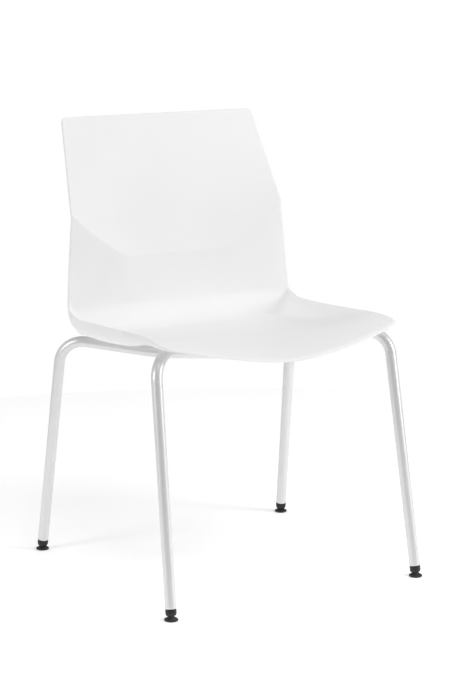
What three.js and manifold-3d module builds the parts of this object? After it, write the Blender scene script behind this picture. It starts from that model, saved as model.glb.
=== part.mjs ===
// A stacking chair: a moulded seat-and-back shell on a frame of two bent steel tubes, one for
// the front legs and one for the rear legs, with a tilting glide under each leg.
// Millimetres, +Z up. The sitter faces -Y, so left is +X and right is -X. The origin is on the
// floor, under the middle of the chair.
import * as THREE from "three";
import { mergeVertices } from "three/addons/utils/BufferGeometryUtils.js";
import Module from "manifold-3d";

// Driving dimensions

const GAP = 0.3; // between two pieces that touch

// Shell outline: half widths, heights and depths of its edges
const SHELL_THICKNESS = 5.5;
const TOP_Z = 820; // straight top edge of the back
const TOP_HALF_WIDTH = 203.5;
const EAR_Z = 648; // where the crease reaches the side edge
const EAR_HALF_WIDTH = 224.5;
const EAR_Y = 177;
const FOLD_Z = 474; // straight fold between back and seat
const FOLD_HALF_WIDTH = 239.5;
const FOLD_Y = 169.3;
const SEAT_HALF_WIDTH = 231.5;
const REAR_FLARE = 30; // over which the seat widens to the fold
const FRONT_HALF_WIDTH = 242;
const FRONT_Y = -239.7; // front edge, at the middle
const FRONT_SWEEP = 38; // how far back the front edge has curved at the corners
const FRONT_CORNER_RADIUS = 20;
const TOP_CORNER_RADIUS = 7;

// Shell surface
const CREASE_Z = 563; // level middle part of the crease
const CREASE_Y = 183.3;
const CREASE_LEVEL = 0.479; // share of the half width over which the crease is level
const CREASE_ROUNDING = 0.018;
const CREASE_SLANT = 132;
const CREASE_BOW = 58;
const BACK_LEAN = 0.31; // upper panel at the middle, back per millimetre up
const EDGE_LEAN = 0.4836; // the same at its side edges
const BACK_HOLLOW = 3; // power of the hollow from side to side
const RIM_FRONT_Z = 476.8; // side rim of the seat at the front, before the lip
const RIM_DROP = 13; // from there to the rear
const DISH_FRONT_Z = 437; // middle of the seat at the front, before the lip
const DISH_DROP = 6;
const LIP_DROP = 7;
const LIP_LENGTH = 90;
const VALLEY_WIDTH = 60; // rounding of the seat's valley at the front
const WALL_WIDTH = 60; // the dish's side walls, rounded from the rim to the floor
const WALL_POWER = 3.6;
const REAR_LENGTH = 62; // the same for its rear wall, below the fold
const REAR_POWER = 3;
const REAR_LENGTH_EDGE = 14; // near the side rims
const REAR_EDGE_POWER = 1.6;
const RIM_REAR_LENGTH = 40; // the side rims themselves rise more gently
const RIM_REAR_POWER = 1.8;
const RIM_SHARE = 0.96; // share of the half width inside the rims
// Flange under the seat's side edges
const FLANGE_DROP = 18.5; // below the shell's thickness
const FLANGE_FRONT_Y = -230; // it grows from here
const FLANGE_FULL_Y = -40; // to its full height here
const FLANGE_END = 3; // rounding of its rear end

// Frame tubes
const TUBE_RADIUS = 10;
const TUBE_BORE = 8;
const BEND_RADIUS = 47.5; // centre line, at the top of each leg
const PLAN_BEND_RADIUS = 60; // centre line, where an arm meets the middle run
const LEGS = {
  // foot: the ball of the glide; knee: where leg and arm would meet; middle: the level run
  front: {
    foot: [254.2, -255.3, 7.6],
    knee: [239.4, -175, 454.5],
    middle: [62, -78.3, 418.5],
  },
  rear: {
    foot: [265.9, 242.7, 7.6],
    knee: [249.4, 176.9, 420.5],
    middle: [108, 58.3, 400.1],
  },
};

// Mounting straps and their screws
const STRAP = { x: 42, width: 32, thickness: 4, rearEnd: 68 };
const SCREW_Y = [-46, 28];
const SCREW_RADIUS = 2.7;
const SCREW_HOLE_RADIUS = 3.3;
const HEAD = { radius: 5.6, height: 3.8, socketRadius: 2.3, socketDepth: 2.4 };
const WASHER = { radius: 6.6, thickness: 1.2 };
const INSERT = { radius: 4, bore: 3, length: 9, flange: 4.9, flangeHeight: 1 };
const BOSS_RADIUS = 11;
const BOSS_RIB = { length: 24, thickness: 3, count: 4 };

// Glides
const COLLAR = { length: 8.5, above: 4.2 }; // its lower face is this far above the ball's centre
const SKIRT = { low: 1.4, inner: 7.6, radius: 8.8, flare: 4.6 }; // hangs from it round the ball
const PLUG = { radius: 7.6, length: 26, bore: 2.3 };
const BALL_RADIUS = 4;
const STUD = { radius: 2, top: 17 };
const BASE = { radius: 12.4, side: 2.9, shoulder: 8, shoulderZ: 5.4, lip: 5.6, lipZ: 9.2 };
const SOLE = { radius: 11.2, thickness: 1.7, baseFloor: 0.8 };

// Colours
const SHELL_WHITE = new THREE.MeshStandardMaterial({ color: 0xf4f4f2, roughness: 0.55 });
const FRAME_WHITE = new THREE.MeshStandardMaterial({ color: 0xeeeeec, roughness: 0.4, metalness: 0.1 });
const ZINC = new THREE.MeshStandardMaterial({ color: 0xb4b7ba, roughness: 0.35, metalness: 0.9 });
const BRASS = new THREE.MeshStandardMaterial({ color: 0xb59a56, roughness: 0.35, metalness: 0.9 });
const GLIDE_BLACK = new THREE.MeshStandardMaterial({ color: 0x17181a, roughness: 0.5 });
const SOLE_GREY = new THREE.MeshStandardMaterial({ color: 0x2a2b2d, roughness: 0.85 });

// Solids

const wasm = await Module();
wasm.setup();

function solidOf(geometry) {
  const bare = new THREE.BufferGeometry();
  const flat = geometry.index ? geometry.toNonIndexed() : geometry;
  bare.setAttribute("position", flat.getAttribute("position"));
  const merged = mergeVertices(bare, 1e-3);
  return new wasm.Manifold(
    new wasm.Mesh({
      numProp: 3,
      vertProperties: merged.getAttribute("position").array,
      triVerts: new Uint32Array(merged.index.array),
    }),
  );
}

function geometryOf(solid) {
  const { numProp, vertProperties, triVerts } = solid.getMesh();
  const position = new Float32Array((vertProperties.length / numProp) * 3);
  for (let i = 0; i < position.length / 3; i++)
    position.set(vertProperties.subarray(i * numProp, i * numProp + 3), i * 3);
  const geometry = new THREE.BufferGeometry();
  geometry.setAttribute("position", new THREE.BufferAttribute(position, 3));
  geometry.setIndex(new THREE.BufferAttribute(triVerts, 1));
  geometry.computeVertexNormals();
  return geometry;
}

function cut(geometry, ...tools) {
  const solid = tools.reduce((rest, tool) => rest.subtract(solidOf(tool)), solidOf(geometry));
  return geometryOf(solid);
}

function join(geometry, ...others) {
  const solid = others.reduce((whole, other) => whole.add(solidOf(other)), solidOf(geometry));
  return geometryOf(solid);
}

// A solid of revolution about +Z. The profile holds [radius, height] points, from the bottom up
// on the outside and back down any bore.
function turned(profile, sides = 16) {
  const points = profile.map(([radius, height]) => new THREE.Vector2(radius, height));
  return new THREE.LatheGeometry(points, sides).rotateX(Math.PI / 2);
}

function ring(inner, outer, low, high, sides = 16) {
  return turned([[inner, low], [outer, low], [outer, high], [inner, high], [inner, low]], sides);
}

function rod(radius, low, high, sides = 16) {
  return turned([[0, low], [radius, low], [radius, high], [0, high]], sides);
}

function circle(radius, sides) {
  return Array.from({ length: sides }, (_, i) => {
    const angle = (i / sides) * 2 * Math.PI;
    return new THREE.Vector2(radius * Math.cos(angle), radius * Math.sin(angle));
  });
}

// The shell's surface

const mix = THREE.MathUtils.lerp;
const smooth = (t) => THREE.MathUtils.smoothstep(t, 0, 1);
const softRamp = (t, width) => width * Math.log1p(Math.exp(t / width));

// Half width of the back at a height
function backHalfWidth(z) {
  const lower = mix(FOLD_HALF_WIDTH, EAR_HALF_WIDTH, (z - FOLD_Z) / (EAR_Z - FOLD_Z));
  const upper = mix(EAR_HALF_WIDTH, TOP_HALF_WIDTH, (z - EAR_Z) / (TOP_Z - EAR_Z));
  return z < EAR_Z ? lower : upper;
}

// Height of the crease; u runs from -1 to 1 across the shell
function creaseHeight(u) {
  const past = softRamp(Math.abs(u) - CREASE_LEVEL, CREASE_ROUNDING);
  const end = 1 - CREASE_LEVEL;
  const rise = (d) => CREASE_SLANT * d + CREASE_BOW * d * d;
  return CREASE_Z + (rise(past) * (EAR_Z - CREASE_Z)) / rise(end);
}

// Depth of the hollow upper panel
function upperDepth(u, z) {
  const middle = CREASE_Y + BACK_LEAN * (z - CREASE_Z);
  const edge = EAR_Y + EDGE_LEAN * (z - EAR_Z);
  return mix(middle, edge, Math.abs(u) ** BACK_HOLLOW);
}

// Depth of the lower panel, t from the fold to the crease
function lowerDepth(u, t) {
  const bow = 0.9 * u ** 4;
  return mix(FOLD_Y, upperDepth(u, creaseHeight(u)), t + bow * t * (1 - t));
}

function seatHalfWidth(y) {
  const flare = Math.max(0, (40 - y) / 210) ** 2;
  const rear = Math.exp((y - FOLD_Y) / REAR_FLARE);
  return (
    SEAT_HALF_WIDTH +
    (FRONT_HALF_WIDTH - SEAT_HALF_WIDTH) * flare +
    (FOLD_HALF_WIDTH - SEAT_HALF_WIDTH) * rear
  );
}

function frontEdge(x) {
  return FRONT_Y + FRONT_SWEEP * Math.abs(x / FRONT_HALF_WIDTH) ** 3;
}

// Height of the seat, without the rise to the fold and the droop of the lip
function dishHeight(x, y) {
  const rim = RIM_FRONT_Z - RIM_DROP * smooth((y + 192) / 320);
  const middle = DISH_FRONT_Z - DISH_DROP * smooth((y + 120) / 190);
  const halfWidth = seatHalfWidth(y);
  const valley = (d) => Math.hypot(d, VALLEY_WIDTH) - VALLEY_WIDTH;
  const open = valley(x) / valley(halfWidth);
  const walled = Math.max(0, 1 - (halfWidth - Math.abs(x)) / WALL_WIDTH) ** WALL_POWER;
  return middle + (rim - middle) * mix(open, walled, smooth((y + 160) / 240));
}

function seatHeight(x, y, u) {
  const rise = FOLD_Z - dishHeight(x, FOLD_Y);
  const length = mix(REAR_LENGTH, REAR_LENGTH_EDGE, Math.abs(u) ** REAR_EDGE_POWER);
  const inner = Math.max(0, 1 - (FOLD_Y - y) / length) ** REAR_POWER;
  const rim = Math.max(0, 1 - (FOLD_Y - y) / RIM_REAR_LENGTH) ** RIM_REAR_POWER;
  const rear = mix(inner, rim, smooth((Math.abs(u) - RIM_SHARE) / (1 - RIM_SHARE)));
  const nearLip = Math.max(0, 1 - (y - frontEdge(x)) / LIP_LENGTH);
  return dishHeight(x, y) + rise * rear - LIP_DROP * nearLip ** 2;
}

// Rounds a corner of an outline: a and b are distances from the two edges that meet there
function roundedCorner(a, b, radius) {
  if (a >= radius || b >= radius) return [a, b];
  const p = 1 - a / radius;
  const q = 1 - b / radius;
  return [
    radius * (1 - p * Math.sqrt(1 - (q * q) / 2)),
    radius * (1 - q * Math.sqrt(1 - (p * p) / 2)),
  ];
}

function seatPoint(u, s) {
  const front = frontEdge(u * FRONT_HALF_WIDTH);
  const y = mix(front, FOLD_Y, s);
  const halfWidth = seatHalfWidth(y);
  const inset = roundedCorner(halfWidth * (1 - Math.abs(u)), y - front, FRONT_CORNER_RADIUS);
  const x = Math.sign(u) * (halfWidth - inset[0]);
  const depth = front + inset[1];
  return new THREE.Vector3(x, depth, seatHeight(x, depth, u));
}

function lowerPoint(u, t) {
  const z = mix(FOLD_Z, creaseHeight(u), t);
  return new THREE.Vector3(u * backHalfWidth(z), lowerDepth(u, t), z);
}

function upperPoint(u, t) {
  const z = mix(creaseHeight(u), TOP_Z, t);
  const halfWidth = backHalfWidth(z);
  const inset = roundedCorner(halfWidth * (1 - Math.abs(u)), TOP_Z - z, TOP_CORNER_RADIUS);
  const x = Math.sign(u) * (halfWidth - inset[0]);
  return new THREE.Vector3(x, upperDepth(u, z), TOP_Z - inset[1]);
}

// Rows of points from the front lip to the top edge, each from the right side to the left
function shellRows() {
  const half = 15;
  const across = Array.from({ length: 2 * half + 1 }, (_, i) => {
    const t = i / half - 1;
    return t * (1.42 - 0.42 * t * t);
  });
  const rowsOf = (count, point, spread, from = 0) =>
    Array.from({ length: count + 1 - from }, (_, j) =>
      across.map((u) => point(u, spread((j + from) / count))),
    );
  const bothEnds = (t) => mix(t, smooth(t), 0.8);
  const topEnd = (t) => mix(t, 1 - (1 - t) ** 2, 0.35);
  return [
    ...rowsOf(20, seatPoint, bothEnds),
    ...rowsOf(4, lowerPoint, (t) => t, 1),
    ...rowsOf(9, upperPoint, topEnd, 1),
  ];
}

// How much further down the flange under the seat's side edges reaches
function flangeDrop(y) {
  const front = smooth((y - FLANGE_FRONT_Y) / (FLANGE_FULL_Y - FLANGE_FRONT_Y));
  return FLANGE_DROP * front * (1 - Math.exp(Math.min(0, y - FOLD_Y) / FLANGE_END));
}

// A closed sheet: the rows are its upper face, and its lower face lies a thickness below, no
// wider than the fold. The two outer columns on each side carry the flange.
function sheet(rows, thickness) {
  const height = rows.length;
  const width = rows[0].length;
  const faceNormal = (i, j) => {
    const a = rows[i][j];
    const across = rows[i][j + 1].clone().sub(a).add(rows[i + 1][j + 1]).sub(rows[i + 1][j]);
    const along = rows[i + 1][j].clone().sub(a).add(rows[i + 1][j + 1]).sub(rows[i][j + 1]);
    return across.cross(along).normalize();
  };
  const lower = rows.map((row, i) =>
    row.map((point, j) => {
      const normals = [];
      for (const k of [i - 1, i])
        for (const m of [j - 1, j])
          if (k >= 0 && m >= 0 && k < height - 1 && m < width - 1) normals.push(faceNormal(k, m));
      const mean = normals.reduce((sum, n) => sum.add(n), new THREE.Vector3()).normalize();
      const spread = normals.reduce((sum, n) => sum + n.dot(mean), 0) / normals.length;
      const below = point.clone().addScaledVector(mean, -thickness / spread);
      const widest = Math.max(FOLD_HALF_WIDTH, Math.abs(point.x));
      below.setX(THREE.MathUtils.clamp(below.x, -widest, widest));
      const flanged = Math.min(j, width - 1 - j) < 2 && point.z < FOLD_Z;
      const drop = flanged ? flangeDrop(point.y) : 0;
      const straight = point.clone().setZ(point.z - thickness);
      return below.lerp(straight, drop / FLANGE_DROP).setZ(below.z - drop);
    }),
  );
  const corners = [];
  const quad = (a, b, c, d) => corners.push(a, b, c, a, c, d);
  for (let i = 0; i < height - 1; i++)
    for (let j = 0; j < width - 1; j++) {
      quad(rows[i][j], rows[i][j + 1], rows[i + 1][j + 1], rows[i + 1][j]);
      quad(lower[i][j], lower[i + 1][j], lower[i + 1][j + 1], lower[i][j + 1]);
    }
  for (let i = 0; i < height - 1; i++) {
    quad(rows[i][0], rows[i + 1][0], lower[i + 1][0], lower[i][0]);
    quad(rows[i + 1][width - 1], rows[i][width - 1], lower[i][width - 1], lower[i + 1][width - 1]);
  }
  for (let j = 0; j < width - 1; j++) {
    quad(rows[0][j + 1], rows[0][j], lower[0][j], lower[0][j + 1]);
    quad(rows[height - 1][j], rows[height - 1][j + 1], lower[height - 1][j + 1], lower[height - 1][j]);
  }
  return new THREE.BufferGeometry().setFromPoints(corners);
}

const strapTop = LEGS.rear.middle[2] + TUBE_RADIUS + GAP + STRAP.thickness;
const bossFoot = strapTop + GAP;

// One boss under the seat, with its ribs, and the hole for its insert
function boss(x, y) {
  const crown = dishHeight(x, y) - SHELL_THICKNESS / 2;
  const post = rod(BOSS_RADIUS, bossFoot, crown).translate(x, y, 0);
  const ribs = Array.from({ length: BOSS_RIB.count }, (_, i) => {
    const outline = new THREE.Shape([
      new THREE.Vector2(0, bossFoot + 3),
      new THREE.Vector2(BOSS_RADIUS, bossFoot + 3),
      new THREE.Vector2(BOSS_RADIUS + BOSS_RIB.length / 2, crown - 4),
      new THREE.Vector2(0, crown - 1),
    ]);
    const plate = new THREE.ExtrudeGeometry(outline, {
      depth: BOSS_RIB.thickness,
      bevelEnabled: false,
    });
    plate.translate(0, 0, -BOSS_RIB.thickness / 2).rotateX(Math.PI / 2);
    return plate.rotateZ(((i + 0.5) * 2 * Math.PI) / BOSS_RIB.count).translate(x, y, 0);
  });
  return [post, ...ribs];
}

const sides = [
  ["left", 1],
  ["right", -1],
];
const screwPlaces = ["front", "rear"].flatMap((end, i) =>
  sides.map(([side, sign]) => ({ name: `${end}_${side}`, x: sign * STRAP.x, y: SCREW_Y[i] })),
);

function shellGeometry() {
  const bosses = screwPlaces.flatMap(({ x, y }) => boss(x, y));
  const holes = screwPlaces.flatMap(({ x, y }) => [
    rod(INSERT.radius + GAP, bossFoot - 1, bossFoot + INSERT.length + 1.2).translate(x, y, 0),
    rod(INSERT.flange + GAP, bossFoot - 1, bossFoot + INSERT.flangeHeight + GAP).translate(x, y, 0),
  ]);
  return cut(join(sheet(shellRows(), SHELL_THICKNESS), ...bosses), ...holes);
}

// Frame tubes

function arcAt(before, corner, after, radius, steps) {
  const into = corner.clone().sub(before).normalize();
  const out = after.clone().sub(corner).normalize();
  const turn = into.angleTo(out);
  const start = corner.clone().addScaledVector(into, -radius * Math.tan(turn / 2));
  const side = out.clone().addScaledVector(into, -out.dot(into)).normalize();
  return Array.from({ length: steps + 1 }, (_, i) => {
    const angle = (turn * i) / steps;
    return start
      .clone()
      .addScaledVector(into, radius * Math.sin(angle))
      .addScaledVector(side, radius * (1 - Math.cos(angle)));
  });
}

// A centre line with a station wherever it changes direction, and none along its straight runs
class StationLine extends THREE.Curve {
  constructor(stations) {
    super();
    this.stations = stations;
  }
  getPoint(t, target = new THREE.Vector3()) {
    const place = t * (this.stations.length - 1);
    const i = Math.min(Math.floor(place), this.stations.length - 2);
    return target.lerpVectors(this.stations[i], this.stations[i + 1], place - i);
  }
  getPointAt(t, target) {
    return this.getPoint(t, target);
  }
  getTangentAt(t, target = new THREE.Vector3()) {
    const i = Math.round(t * (this.stations.length - 1));
    const here = this.stations[i];
    const before = this.stations[i - 1] ?? here;
    const after = this.stations[i + 1] ?? here;
    const into = here.clone().sub(before).normalize();
    const out = after.clone().sub(here).normalize();
    return target.copy(into).add(out).normalize();
  }
}

const mirrored = ([x, y, z]) => new THREE.Vector3(-x, y, z);

// Unit vector up a leg
function legDirection({ foot, knee }) {
  return new THREE.Vector3(...knee).sub(new THREE.Vector3(...foot)).normalize();
}

function frameStations(leg) {
  const end = new THREE.Vector3(...leg.foot).addScaledVector(
    legDirection(leg),
    COLLAR.above + COLLAR.length + GAP,
  );
  const knee = new THREE.Vector3(...leg.knee);
  const middle = new THREE.Vector3(...leg.middle);
  const otherEnd = mirrored(end.toArray());
  const otherKnee = mirrored(leg.knee);
  const otherMiddle = mirrored(leg.middle);
  return [
    end,
    ...arcAt(end, knee, middle, BEND_RADIUS, 8),
    ...arcAt(knee, middle, otherMiddle, PLAN_BEND_RADIUS, 4),
    ...arcAt(middle, otherMiddle, otherKnee, PLAN_BEND_RADIUS, 4),
    ...arcAt(otherMiddle, otherKnee, otherEnd, BEND_RADIUS, 8),
    otherEnd,
  ];
}

function tube(stations, radius, bore) {
  const section = new THREE.Shape(circle(radius, 16));
  if (bore) section.holes.push(new THREE.Path(circle(bore, 10)));
  return new THREE.ExtrudeGeometry(section, {
    steps: stations.length - 1,
    extrudePath: new StationLine(stations),
  });
}

// Pieces, each a named mesh

const chair = new THREE.Group();
chair.name = "stacking_chair";

function add(name, geometry, material, parent = chair) {
  const mesh = new THREE.Mesh(geometry, material);
  mesh.name = name;
  parent.add(mesh);
  return mesh;
}

add("seat_shell", shellGeometry(), SHELL_WHITE);
for (const [end, leg] of Object.entries(LEGS))
  add(`${end}_frame_tube`, tube(frameStations(leg), TUBE_RADIUS, TUBE_BORE), FRAME_WHITE);

// Straps: level bars that end against the front arch and lie on the rear one
for (const [side, sign] of sides) {
  const frontEnd = LEGS.front.middle[1];
  const length = STRAP.rearEnd - frontEnd;
  const bar = new THREE.BoxGeometry(STRAP.width, length, STRAP.thickness);
  bar.translate(sign * STRAP.x, frontEnd + length / 2, strapTop - STRAP.thickness / 2);
  const holes = SCREW_Y.map((y) =>
    rod(SCREW_HOLE_RADIUS, strapTop - 10, strapTop + 10).translate(sign * STRAP.x, y, 0),
  );
  const arch = tube(frameStations(LEGS.front), TUBE_RADIUS + GAP);
  add(`mounting_strap_${side}`, cut(bar, arch, ...holes), FRAME_WHITE);
}

// Fasteners, from below: screw, washer, strap, insert
for (const { name, x, y } of screwPlaces) {
  const place = new THREE.Group();
  place.position.set(x, y, 0);
  chair.add(place);
  const washerTop = strapTop - STRAP.thickness - GAP;
  const seat = washerTop - WASHER.thickness - GAP;
  const headFoot = seat - HEAD.height;
  const tip = bossFoot + INSERT.length - 0.5;
  const screw = turned([
    [0, headFoot + HEAD.socketDepth],
    [HEAD.socketRadius, headFoot + HEAD.socketDepth],
    [HEAD.socketRadius, headFoot],
    [HEAD.radius - 0.8, headFoot],
    [HEAD.radius, headFoot + 0.8],
    [HEAD.radius, seat],
    [SCREW_RADIUS, seat],
    [SCREW_RADIUS, tip - 0.8],
    [SCREW_RADIUS - 0.8, tip],
    [0, tip],
  ]);
  const insertTop = bossFoot + INSERT.length;
  const insert = turned([
    [INSERT.bore, bossFoot],
    [INSERT.flange, bossFoot],
    [INSERT.flange, bossFoot + INSERT.flangeHeight],
    [INSERT.radius, bossFoot + INSERT.flangeHeight],
    [INSERT.radius, insertTop],
    [INSERT.bore, insertTop],
    [INSERT.bore, bossFoot],
  ]);
  const hole = SCREW_HOLE_RADIUS;
  const washer = ring(hole, WASHER.radius, washerTop - WASHER.thickness, washerTop);
  add(`shell_screw_${name}`, screw, ZINC, place);
  add(`shell_washer_${name}`, washer, ZINC, place);
  add(`shell_insert_${name}`, insert, BRASS, place);
}

// Glides: the plug and the ball stud follow the leg, the base and its sole lie flat
for (const [end, leg] of Object.entries(LEGS))
  for (const [side, sign] of sides) {
    const name = `${end}_${side}`;
    const [x, y, z] = leg.foot;
    const along = legDirection(leg);
    along.x *= sign;
    const leaning = new THREE.Group();
    leaning.position.set(sign * x, y, z);
    leaning.quaternion.setFromUnitVectors(new THREE.Vector3(0, 0, 1), along);
    const level = new THREE.Group();
    level.position.set(sign * x, y, 0);
    chair.add(leaning, level);

    const collarTop = COLLAR.above + COLLAR.length;
    const plugTop = collarTop + PLUG.length;
    const plug = turned([
      [PLUG.bore, COLLAR.above],
      [SKIRT.inner, COLLAR.above],
      [SKIRT.inner, SKIRT.low],
      [SKIRT.radius, SKIRT.low],
      [TUBE_RADIUS, SKIRT.flare],
      [TUBE_RADIUS, collarTop],
      [PLUG.radius, collarTop],
      [PLUG.radius, plugTop - 2],
      [PLUG.radius - 1.2, plugTop],
      [0, plugTop],
      [0, STUD.top + GAP],
      [PLUG.bore, STUD.top + GAP],
      [PLUG.bore, COLLAR.above],
    ]);
    add(`glide_plug_${name}`, plug, GLIDE_BLACK, leaning);

    const neck = Math.asin(STUD.radius / BALL_RADIUS);
    const ballSteps = 7;
    const ball = Array.from({ length: ballSteps + 1 }, (_, i) => {
      const angle = ((Math.PI - neck) * i) / ballSteps;
      return [BALL_RADIUS * Math.sin(angle), -BALL_RADIUS * Math.cos(angle)];
    });
    const stud = turned([...ball, [STUD.radius, STUD.top], [0, STUD.top]], 14);
    add(`glide_stud_${name}`, stud, ZINC, leaning);

    const socketRadius = BALL_RADIUS + GAP;
    const mouth = Math.asin((BASE.lipZ - z) / socketRadius);
    const socketSteps = 6;
    const socket = Array.from({ length: socketSteps + 1 }, (_, i) => {
      const angle = mix(mouth, -Math.PI / 2, i / socketSteps);
      return [socketRadius * Math.cos(angle), z + socketRadius * Math.sin(angle)];
    });
    socket[socketSteps][0] = 0;
    const floor = SOLE.baseFloor;
    const recess = SOLE.thickness + GAP;
    const base = turned(
      [
        [0, recess],
        [SOLE.radius + GAP, recess],
        [SOLE.radius + GAP, floor],
        [BASE.radius - 0.4, floor],
        [BASE.radius, floor + 0.6],
        [BASE.radius, BASE.side],
        [BASE.shoulder, BASE.shoulderZ],
        [BASE.lip, BASE.lipZ],
        ...socket,
      ],
      20,
    );
    add(`glide_base_${name}`, base, GLIDE_BLACK, level);
    add(`glide_sole_${name}`, rod(SOLE.radius, 0, SOLE.thickness, 20), SOLE_GREY, level);
  }

export default chair;
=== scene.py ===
"""A stacking chair's looks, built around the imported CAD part: a moulded seat-and-back shell on
two bent-tube arches, with straps, screws and tilting glides."""

import math

import bmesh
import bpy
import numpy as np
from mathutils import Matrix, Vector


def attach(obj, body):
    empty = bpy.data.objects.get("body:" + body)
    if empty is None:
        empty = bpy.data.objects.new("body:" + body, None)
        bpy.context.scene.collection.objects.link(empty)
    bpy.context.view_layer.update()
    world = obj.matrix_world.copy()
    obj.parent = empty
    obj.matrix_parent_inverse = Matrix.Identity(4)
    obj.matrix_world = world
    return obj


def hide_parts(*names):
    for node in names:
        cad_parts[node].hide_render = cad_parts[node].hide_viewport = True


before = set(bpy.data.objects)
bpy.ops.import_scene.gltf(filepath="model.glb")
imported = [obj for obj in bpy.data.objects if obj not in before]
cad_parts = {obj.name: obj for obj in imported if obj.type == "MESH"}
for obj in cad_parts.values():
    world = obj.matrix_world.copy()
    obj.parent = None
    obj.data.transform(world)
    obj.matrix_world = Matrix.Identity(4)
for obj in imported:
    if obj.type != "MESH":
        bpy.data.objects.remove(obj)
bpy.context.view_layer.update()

MM = 0.001
UP = Vector((0, 0, 1))

# ---------------------------------------------------------------- dimensions, in millimetres

GAP = 0.3  # between two pieces that touch

# shell outline: half widths, heights and depths of its edges
SHELL_THICKNESS = 5.5
TOP_Z = 820  # straight top edge of the back
TOP_HALF_WIDTH = 203.5
EAR_Z = 648  # where the crease reaches the side edge
EAR_HALF_WIDTH = 224.5
EAR_Y = 177
FOLD_Z = 474  # straight fold between back and seat
FOLD_HALF_WIDTH = 239.5
FOLD_Y = 169.3
SEAT_HALF_WIDTH = 231.5  # at the waist
WAIST_Y, FRONT_FLARE = 40, 210  # in front of the waist the seat widens, over this length
REAR_FLARE = 30  # over which the seat widens to the fold
FRONT_HALF_WIDTH = 242
FRONT_Y = -239.7
FRONT_SWEEP = 38
FRONT_CORNER_RADIUS = 20
TOP_CORNER_RADIUS = 7

# shell surface
CREASE_Z = 563  # level middle part of the crease
CREASE_Y = 183.3
CREASE_LEVEL = 0.479  # share of the half width over which it is level
CREASE_ROUNDING = 0.018
CREASE_SLANT = 132
CREASE_BOW = 58
LOWER_BOW = 0.9  # how far the lower panel bows out beside the crease
BACK_LEAN = 0.31  # upper panel at the middle, back per millimetre up
EDGE_LEAN = 0.4836  # the same at its side edges
BACK_HOLLOW = 3  # power of the hollow from side to side
RIM_FRONT_Z = 476.8
RIM_DROP = 13  # of the side rims, from front to rear
RIM_DROP_Y, RIM_DROP_LENGTH = -192, 320
DISH_FRONT_Z = 437
DISH_DROP = 6
DISH_DROP_Y, DISH_DROP_LENGTH = -120, 190
WALLED_Y, WALLED_LENGTH = -160, 240  # where the open dish turns into one with walls
LIP_DROP = 7
LIP_LENGTH = 90
VALLEY_WIDTH = 60
WALL_WIDTH = 60
WALL_POWER = 3.6
REAR_LENGTH = 62  # rear wall below the fold, at the middle
REAR_POWER = 3
REAR_LENGTH_EDGE = 14  # and near the side rims
REAR_EDGE_POWER = 1.6
RIM_REAR_LENGTH = 40  # the side rims themselves
RIM_REAR_POWER = 1.8
RIM_SHARE = 0.96  # share of the half width inside the rims
FLANGE_DROP = 18.5  # flange under the seat's side edges
FLANGE_FRONT_Y, FLANGE_FULL_Y = -230, -40
FLANGE_END = 3
FLANGE_WIDTH, FLANGE_FOOT = 9.5, 4.2
RIM_ROUNDING = 2.6  # half-round edge of the moulding
LIP_ROUNDING, LIP_DEPTH = 9.5, 4.3  # the front lip's wider rounding
LIP_ROUND_Y, LIP_ROUND_FADE = -150, 50
LIP_CORNER_FROM = 0.85  # from this share of the width the lip is sharper
LIP_CORNER_LOSS = 0.7  # share of the lip's wider rounding lost at the corners
CLOSED_GRID = 0.6  # sine of the angle between rows and columns
FILLET_REACH = 34  # of the fold's wide fillet at the sides, from the fold
FILLET_FROM, FILLET_FULL = 0.955, 0.985  # shares of the half width where it starts and is full
FILLET_TURNS = 40
FOLD_REACH, FOLD_TURNS = 9, 14  # rows on each side that are smoothed, and how often
CREASE_REACH, CREASE_TURNS = 8, 5

TUBE_RADIUS = 10
TUBE_BORE = 8
BEND_RADIUS = 47.5
PLAN_BEND_RADIUS = 60
LEGS = {
    # foot: the ball of the glide; knee: where leg and arm would meet; middle: the level run
    "front": {
        "foot": (254.2, -255.3, 7.6),
        "knee": (239.4, -175, 454.5),
        "middle": (62, -78.3, 418.5),
    },
    "rear": {
        "foot": (265.9, 242.7, 7.6),
        "knee": (249.4, 176.9, 420.5),
        "middle": (108, 58.3, 400.1),
    },
}

STRAP_X, STRAP_WIDTH, STRAP_THICKNESS, STRAP_REAR = 42, 32, 4, 68
SCREW_Y = {"front": -46, "rear": 28}
SCREW_RADIUS = 2.7
SCREW_HOLE_RADIUS = 3.3
HEAD_RADIUS, HEAD_HEIGHT, SOCKET_RADIUS, SOCKET_DEPTH = 5.6, 3.8, 2.3, 2.4
WASHER_RADIUS, WASHER_THICKNESS = 6.6, 1.2
INSERT_RADIUS, INSERT_BORE, INSERT_LENGTH = 4, 3, 9
INSERT_FLANGE, INSERT_FLANGE_HEIGHT = 4.9, 1
BOSS_RADIUS = 11
RIB_LENGTH, RIB_THICKNESS, RIB_COUNT = 24, 3, 4

COLLAR_LENGTH, COLLAR_ABOVE = 8.5, 4.2
SKIRT_LOW, SKIRT_INNER, SKIRT_RADIUS, SKIRT_FLARE = 1.4, 7.6, 8.8, 4.6
PLUG_RADIUS, PLUG_LENGTH, PLUG_BORE = 7.6, 26, 2.3
BALL_RADIUS, STUD_RADIUS, STUD_TOP = 4, 2, 17
BASE_RADIUS, BASE_SIDE = 12.4, 2.9
BASE_SHOULDER, BASE_SHOULDER_Z = 8, 5.4
BASE_LIP, BASE_LIP_Z = 5.6, 9.2
SOLE_RADIUS, SOLE_THICKNESS, BASE_FLOOR = 11.2, 1.7, 0.8

STRAP_TOP = LEGS["rear"]["middle"][2] + TUBE_RADIUS + GAP + STRAP_THICKNESS
BOSS_FOOT = STRAP_TOP + GAP
SIDES = (("left", 1), ("right", -1))

# ---------------------------------------------------------------- materials


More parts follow.
